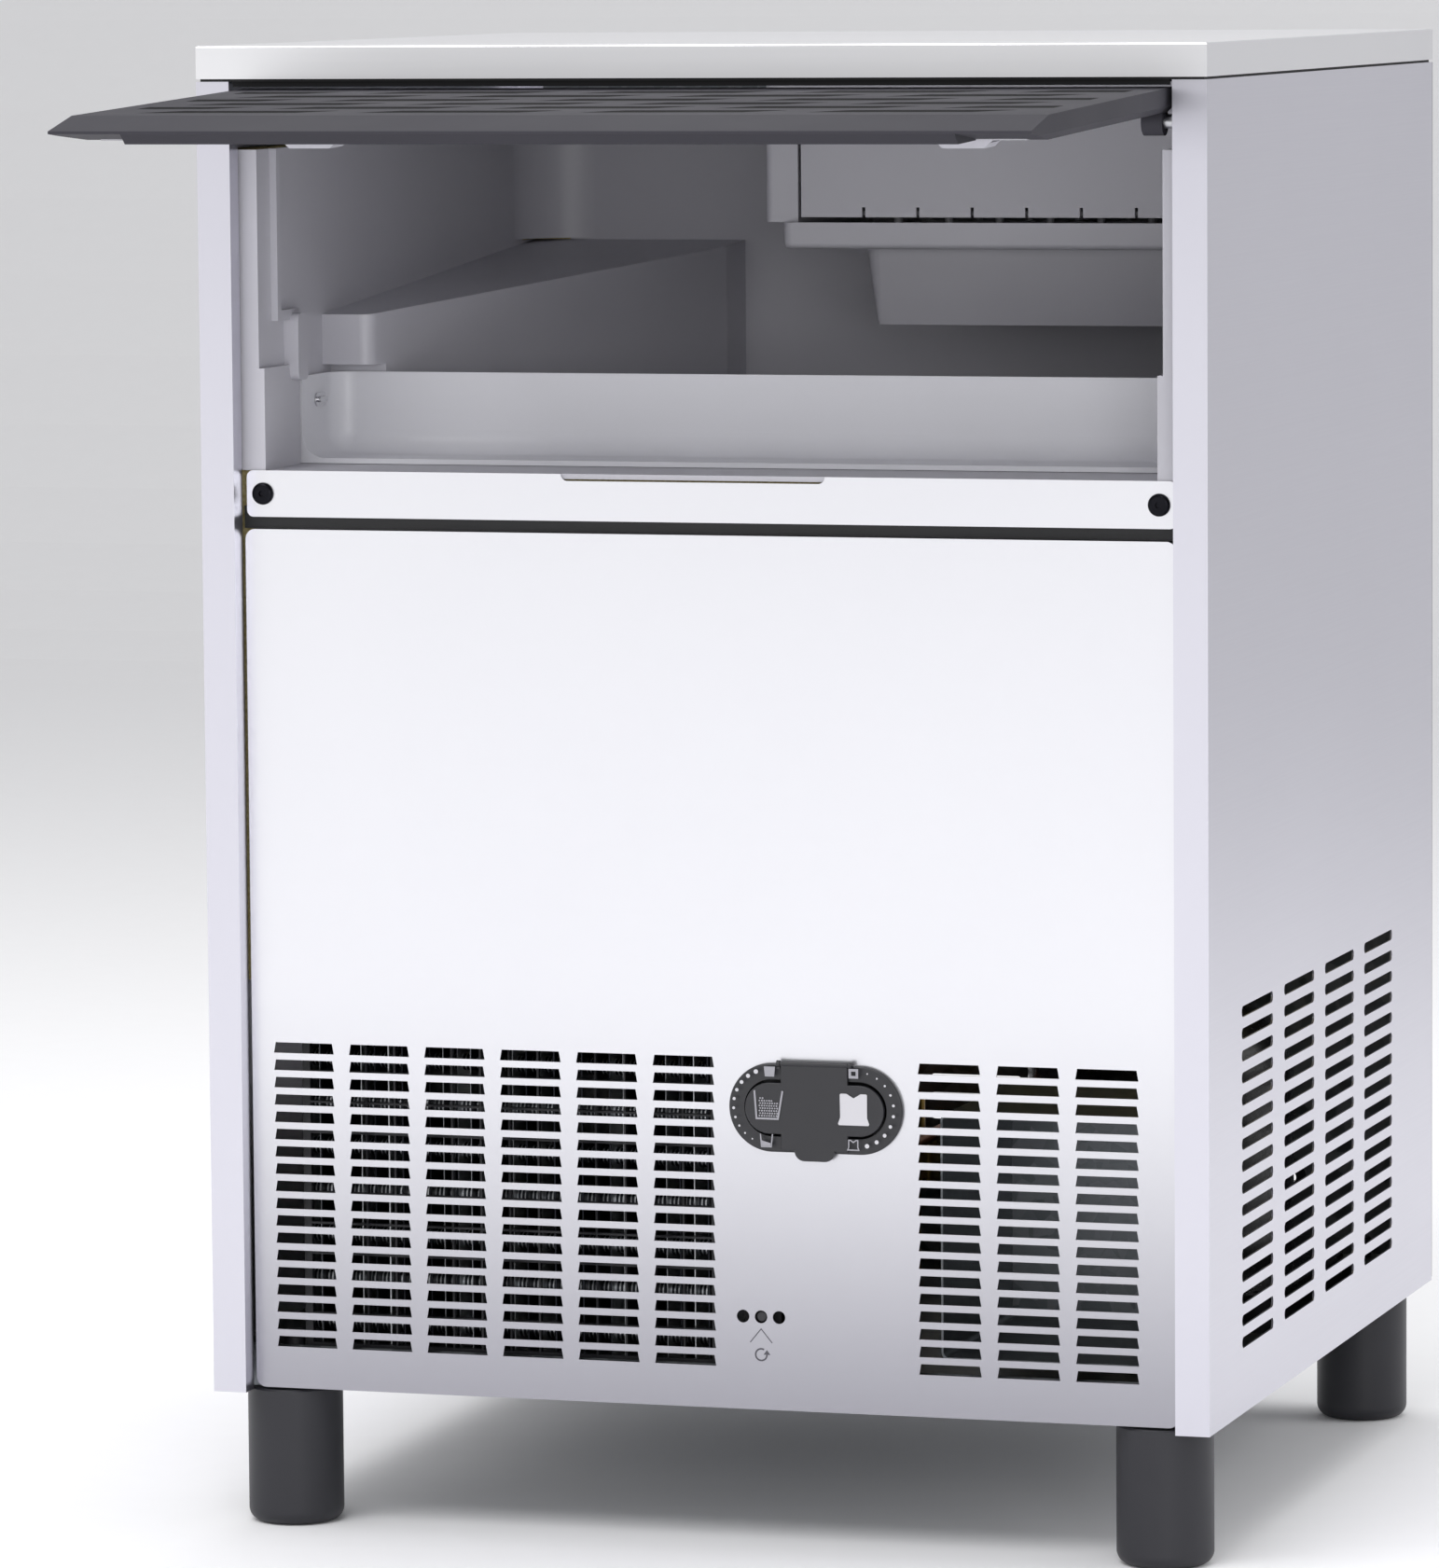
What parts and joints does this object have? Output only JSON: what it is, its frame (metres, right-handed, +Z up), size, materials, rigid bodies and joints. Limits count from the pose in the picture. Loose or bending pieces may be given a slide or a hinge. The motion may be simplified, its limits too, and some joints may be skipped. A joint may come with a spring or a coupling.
{
  "type": "under-counter ice maker",
  "caption": "Free-standing steel ice maker with a swing-up bin door, front and side air vents, a flip cover over two setting dials, and screw-out legs.",
  "frame": {"origin": "on the floor, below the middle of the cabinet's plan", "axes": "+X to the right seen from the front, -Y towards the user, +Z up, normal to the worktop"},
  "size_m": [0.6, 0.8823, 0.866],
  "materials": {
    "stainless_top": "satin",
    "stainless_side": "satin",
    "stainless_front": "fine satin",
    "galvanised_steel": "matt",
    "zinc_screw": "satin",
    "black_screw": "satin",
    "black_rubber": "matt",
    "dark_plastic": "matt",
    "bin_abs": "satin",
    "foam": "matt",
    "white_abs": "satin",
    "spring_steel": "bright",
    "door_plastic": "satin",
    "steel_pin": "satin",
    "tinned_copper": "satin",
    "copper": "satin",
    "black_enamel": "gloss",
    "fin_aluminium": "satin",
    "black_plastic": "satin",
    "brass": "satin",
    "circuit_board": "gloss",
    "leg_plastic": "satin"
  },
  "bodies": {
    "cabinet": {"air_filter": "black_plastic", "back_panel": "galvanised_steel", "back_screws": "zinc_screw", "baffle_clips": "spring_steel", "base_pan": "galvanised_steel", "bin_baffle": "white_abs", "bin_insulation": "foam", "bin_liner": "bin_abs", "compressor": "black_enamel", "compressor_mounts": "black_rubber", "condenser": "fin_aluminium", "control_bezel": "black_plastic", "control_board": "circuit_board", "control_box": "galvanised_steel", "cord_gland": "black_plastic", "curtain_rod": "steel_pin", "discharge_line": "copper", "door_track_left": "dark_plastic", "door_track_right": "dark_plastic", "drain_pipe": "bin_abs", "evaporator": "tinned_copper", "evaporator_coil": "copper", "fan_motor": "black_enamel", "fan_shroud": "galvanised_steel", "filter_drier": "copper", "front_panel": "stainless_front", "head_rail": "dark_plastic", "hot_gas_valve": "brass", "ice_chute": "bin_abs", "left_side_panel": "stainless_side", "leg_bushings": "zinc_screw", "panel_seal": "black_rubber", "pump_hose": "black_rubber", "reset_switch": "dark_plastic", "right_side_panel": "stainless_side", "sill_screws": "black_screw", "sill_strip": "stainless_front", "spray_bar": "white_abs", "top_gasket": "black_rubber", "top_panel": "stainless_top", "unit_housing": "bin_abs", "water_inlet_valve": "white_abs", "water_pump": "dark_plastic", "water_tank": "bin_abs"},
    "door": {"door_panel": "door_plastic", "door_pins": "steel_pin", "door_liner": "bin_abs", "door_foam": "foam", "door_hooks": "bin_abs"},
    "curtain": {"ice_curtain": "bin_abs"},
    "cover": {"control_cover": "black_plastic"},
    "level_dial": {"level_knob": "black_plastic"},
    "cube_dial": {"cube_knob": "black_plastic"},
    "reset_plunger": {"reset_button": "black_plastic"},
    "fan": {"fan_blade": "black_plastic"},
    "leg_a": {"leg_front_left": "leg_plastic"},
    "leg_b": {"leg_front_right": "leg_plastic"},
    "leg_c": {"leg_back_left": "leg_plastic"},
    "leg_d": {"leg_back_right": "leg_plastic"}
  },
  "joints": [
    {"name": "door_swing", "type": "hinge", "parent": "cabinet", "child": "door", "pos_m": [0, -0.278, 0.822], "axis": [1, 0, 0], "range_deg": [0, 88]},
    {"name": "curtain_swing", "type": "hinge", "parent": "cabinet", "child": "curtain", "pos_m": [0, 0.044, 0.819], "axis": [-1, 0, 0], "range_deg": [0, 60]},
    {"name": "cover_flip", "type": "hinge", "parent": "cabinet", "child": "cover", "pos_m": [0.0655, -0.2808, 0.2845], "axis": [-1, 0, 0], "range_deg": [0, 110]},
    {"name": "level_turn", "type": "hinge", "parent": "cabinet", "child": "level_dial", "pos_m": [0.0393, -0.276, 0.2585], "axis": [0, 1, 0], "range_deg": [-135, 135]},
    {"name": "cube_turn", "type": "hinge", "parent": "cabinet", "child": "cube_dial", "pos_m": [0.0917, -0.276, 0.2585], "axis": [0, 1, 0], "range_deg": [-135, 135]},
    {"name": "reset_press", "type": "slide", "parent": "cabinet", "child": "reset_plunger", "axis": [0, 1, 0], "range_m": [0, 0.0025], "stiffness_N_per_m": 400, "springref_m": -0.002},
    {"name": "fan_spin", "type": "hinge", "parent": "cabinet", "child": "fan", "pos_m": [-0.1275, -0.18, 0.1955], "axis": [0, 1, 0], "continuous": true},
    {"name": "level_front_left", "type": "slide", "parent": "cabinet", "child": "leg_a", "axis": [0, 0, -1], "range_m": [0, 0.02]},
    {"name": "level_front_right", "type": "slide", "parent": "cabinet", "child": "leg_b", "axis": [0, 0, -1], "range_m": [0, 0.02]},
    {"name": "level_back_left", "type": "slide", "parent": "cabinet", "child": "leg_c", "axis": [0, 0, -1], "range_m": [0, 0.02]},
    {"name": "level_back_right", "type": "slide", "parent": "cabinet", "child": "leg_d", "axis": [0, 0, -1], "range_m": [0, 0.02]}
  ]
}
